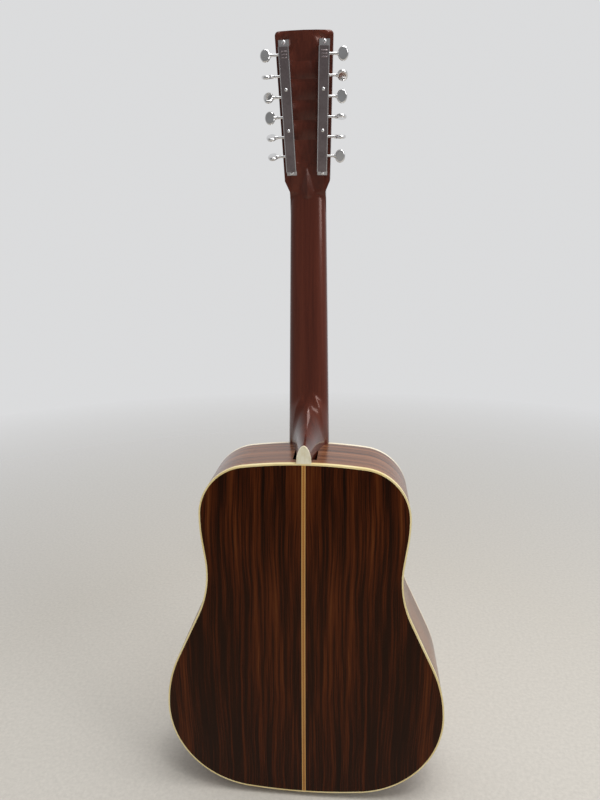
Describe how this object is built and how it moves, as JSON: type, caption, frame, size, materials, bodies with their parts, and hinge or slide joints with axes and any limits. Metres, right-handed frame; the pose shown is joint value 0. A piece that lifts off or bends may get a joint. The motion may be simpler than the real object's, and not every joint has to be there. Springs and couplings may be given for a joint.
{
  "type": "acoustic guitar",
  "caption": "Twelve-string steel-string acoustic guitar with a deep dreadnought body, rosewood back and sides, pitched headstock and geared tuners that turn their string posts.",
  "frame": {"origin": "centre of the tail, on the outer face of the sides, half way through the body's depth, where a stand or a stand's cradle carries the guitar", "axes": "+X to the right seen from the back (bass side), +Y out of the soundboard, +Z along the neck towards the headstock"},
  "size_m": [0.4006, 0.1372, 1.0561],
  "materials": {
    "spruce": "satin lacquer over pale spruce",
    "rosewood": "gloss lacquer over dark rosewood",
    "side_rosewood": "gloss lacquer over lighter rosewood",
    "mahogany": "gloss lacquer over red-brown mahogany",
    "ebony": "oiled ebony",
    "inner_wood": "bare inner wood",
    "marquetry": "gold and brown inlaid strip",
    "ivoroid": "aged cream edging",
    "bone": "polished bone",
    "dark_plastic": "dark tortoiseshell plastic",
    "pearl": "pearl dots",
    "black_pin": "black turned plastic",
    "chrome": "polished",
    "nickel": "dull nickel with fine wear",
    "fret_wire": "polished nickel silver",
    "steel": "bright",
    "bronze": "wound bronze"
  },
  "bodies": {
    "root": {"soundboard": "spruce", "rosette": "marquetry", "pickguard": "dark_plastic", "x_braces": "inner_wood", "tone_bars": "inner_wood", "soundhole_braces": "inner_wood", "bridge_plate": "inner_wood", "back_plate_bass": "rosewood", "back_plate_treble": "rosewood", "back_center_strip": "marquetry", "back_seam_strip": "inner_wood", "back_braces": "inner_wood", "side_bass": "side_rosewood", "side_treble": "side_rosewood", "bindings": "ivoroid", "linings": "inner_wood", "neck_block": "inner_wood", "end_block": "inner_wood", "end_pin": "ivoroid", "neck": "mahogany", "heel_cap": "ivoroid", "truss_rod": "steel", "headstock_veneer": "rosewood", "fingerboard": "ebony", "frets": "fret_wire", "position_dots": "pearl", "wound_strings": "bronze", "plain_strings": "steel", "nut": "bone", "saddle": "bone", "bridge": "ebony", "bridge_pins": "black_pin", "tuner_base_plates": "nickel", "tuner_covers": "nickel", "tuner_screws": "chrome", "post_bushings": "chrome"},
    "bass_button_1": {"bass_button_1": "chrome"},
    "bass_post_1": {"bass_post_1": "steel"},
    "bass_button_2": {"bass_button_2": "chrome"},
    "bass_post_2": {"bass_post_2": "steel"},
    "bass_button_3": {"bass_button_3": "chrome"},
    "bass_post_3": {"bass_post_3": "steel"},
    "bass_button_4": {"bass_button_4": "chrome"},
    "bass_post_4": {"bass_post_4": "steel"},
    "bass_button_5": {"bass_button_5": "chrome"},
    "bass_post_5": {"bass_post_5": "steel"},
    "bass_button_6": {"bass_button_6": "chrome"},
    "bass_post_6": {"bass_post_6": "steel"},
    "treble_button_1": {"treble_button_1": "chrome"},
    "treble_post_1": {"treble_post_1": "steel"},
    "treble_button_2": {"treble_button_2": "chrome"},
    "treble_post_2": {"treble_post_2": "steel"},
    "treble_button_3": {"treble_button_3": "chrome"},
    "treble_post_3": {"treble_post_3": "steel"},
    "treble_button_4": {"treble_button_4": "chrome"},
    "treble_post_4": {"treble_post_4": "steel"},
    "treble_button_5": {"treble_button_5": "chrome"},
    "treble_post_5": {"treble_post_5": "steel"},
    "treble_button_6": {"treble_button_6": "chrome"},
    "treble_post_6": {"treble_post_6": "steel"}
  },
  "joints": [
    {"name": "bass_button_1_turn", "type": "hinge", "parent": "root", "child": "bass_button_1", "pos_m": [0.02073, 0.0313, 0.9044], "axis": [0.9995, 0.0083, -0.0311], "continuous": true},
    {"name": "bass_post_1_turn", "type": "hinge", "parent": "root", "child": "bass_post_1", "pos_m": [0.02154, 0.05162, 0.90355], "axis": [0, 0.9659, 0.2588], "continuous": true},
    {"name": "bass_button_2_turn", "type": "hinge", "parent": "root", "child": "bass_button_2", "pos_m": [0.02149, 0.02523, 0.92706], "axis": [0.9995, 0.0083, -0.0311], "continuous": true},
    {"name": "bass_post_2_turn", "type": "hinge", "parent": "root", "child": "bass_post_2", "pos_m": [0.02229, 0.04554, 0.92621], "axis": [0, 0.9659, 0.2588], "continuous": true},
    {"name": "bass_button_3_turn", "type": "hinge", "parent": "root", "child": "bass_button_3", "pos_m": [0.02224, 0.01916, 0.94972], "axis": [0.9995, 0.0083, -0.0311], "continuous": true},
    {"name": "bass_post_3_turn", "type": "hinge", "parent": "root", "child": "bass_post_3", "pos_m": [0.02305, 0.03947, 0.94887], "axis": [0, 0.9659, 0.2588], "continuous": true},
    {"name": "bass_button_4_turn", "type": "hinge", "parent": "root", "child": "bass_button_4", "pos_m": [0.023, 0.01309, 0.97238], "axis": [0.9995, 0.0083, -0.0311], "continuous": true},
    {"name": "bass_post_4_turn", "type": "hinge", "parent": "root", "child": "bass_post_4", "pos_m": [0.0238, 0.0334, 0.97153], "axis": [0, 0.9659, 0.2588], "continuous": true},
    {"name": "bass_button_5_turn", "type": "hinge", "parent": "root", "child": "bass_button_5", "pos_m": [0.02375, 0.00702, 0.99504], "axis": [0.9995, 0.0083, -0.0311], "continuous": true},
    {"name": "bass_post_5_turn", "type": "hinge", "parent": "root", "child": "bass_post_5", "pos_m": [0.02456, 0.02733, 0.99419], "axis": [0, 0.9659, 0.2588], "continuous": true},
    {"name": "bass_button_6_turn", "type": "hinge", "parent": "root", "child": "bass_button_6", "pos_m": [0.02451, 0.00094, 1.0177], "axis": [0.9995, 0.0083, -0.0311], "continuous": true},
    {"name": "bass_post_6_turn", "type": "hinge", "parent": "root", "child": "bass_post_6", "pos_m": [0.02531, 0.02126, 1.01685], "axis": [0, 0.9659, 0.2588], "continuous": true},
    {"name": "treble_button_1_turn", "type": "hinge", "parent": "root", "child": "treble_button_1", "pos_m": [-0.02073, 0.0313, 0.9044], "axis": [-0.9995, 0.0083, -0.0311], "continuous": true},
    {"name": "treble_post_1_turn", "type": "hinge", "parent": "root", "child": "treble_post_1", "pos_m": [-0.02154, 0.05162, 0.90355], "axis": [0, 0.9659, 0.2588], "continuous": true},
    {"name": "treble_button_2_turn", "type": "hinge", "parent": "root", "child": "treble_button_2", "pos_m": [-0.02149, 0.02523, 0.92706], "axis": [-0.9995, 0.0083, -0.0311], "continuous": true},
    {"name": "treble_post_2_turn", "type": "hinge", "parent": "root", "child": "treble_post_2", "pos_m": [-0.02229, 0.04554, 0.92621], "axis": [0, 0.9659, 0.2588], "continuous": true},
    {"name": "treble_button_3_turn", "type": "hinge", "parent": "root", "child": "treble_button_3", "pos_m": [-0.02224, 0.01916, 0.94972], "axis": [-0.9995, 0.0083, -0.0311], "continuous": true},
    {"name": "treble_post_3_turn", "type": "hinge", "parent": "root", "child": "treble_post_3", "pos_m": [-0.02305, 0.03947, 0.94887], "axis": [0, 0.9659, 0.2588], "continuous": true},
    {"name": "treble_button_4_turn", "type": "hinge", "parent": "root", "child": "treble_button_4", "pos_m": [-0.023, 0.01309, 0.97238], "axis": [-0.9995, 0.0083, -0.0311], "continuous": true},
    {"name": "treble_post_4_turn", "type": "hinge", "parent": "root", "child": "treble_post_4", "pos_m": [-0.0238, 0.0334, 0.97153], "axis": [0, 0.9659, 0.2588], "continuous": true},
    {"name": "treble_button_5_turn", "type": "hinge", "parent": "root", "child": "treble_button_5", "pos_m": [-0.02375, 0.00702, 0.99504], "axis": [-0.9995, 0.0083, -0.0311], "continuous": true},
    {"name": "treble_post_5_turn", "type": "hinge", "parent": "root", "child": "treble_post_5", "pos_m": [-0.02456, 0.02733, 0.99419], "axis": [0, 0.9659, 0.2588], "continuous": true},
    {"name": "treble_button_6_turn", "type": "hinge", "parent": "root", "child": "treble_button_6", "pos_m": [-0.02451, 0.00094, 1.0177], "axis": [-0.9995, 0.0083, -0.0311], "continuous": true},
    {"name": "treble_post_6_turn", "type": "hinge", "parent": "root", "child": "treble_post_6", "pos_m": [-0.02531, 0.02126, 1.01685], "axis": [0, 0.9659, 0.2588], "continuous": true}
  ],
  "couplings": [
    {"joint": "bass_post_1_turn", "follows": "bass_button_1_turn", "ratio": -0.071429},
    {"joint": "bass_post_2_turn", "follows": "bass_button_2_turn", "ratio": -0.071429},
    {"joint": "bass_post_3_turn", "follows": "bass_button_3_turn", "ratio": -0.071429},
    {"joint": "bass_post_4_turn", "follows": "bass_button_4_turn", "ratio": -0.071429},
    {"joint": "bass_post_5_turn", "follows": "bass_button_5_turn", "ratio": -0.071429},
    {"joint": "bass_post_6_turn", "follows": "bass_button_6_turn", "ratio": -0.071429},
    {"joint": "treble_post_1_turn", "follows": "treble_button_1_turn", "ratio": 0.071429},
    {"joint": "treble_post_2_turn", "follows": "treble_button_2_turn", "ratio": 0.071429},
    {"joint": "treble_post_3_turn", "follows": "treble_button_3_turn", "ratio": 0.071429},
    {"joint": "treble_post_4_turn", "follows": "treble_button_4_turn", "ratio": 0.071429},
    {"joint": "treble_post_5_turn", "follows": "treble_button_5_turn", "ratio": 0.071429},
    {"joint": "treble_post_6_turn", "follows": "treble_button_6_turn", "ratio": 0.071429}
  ]
}
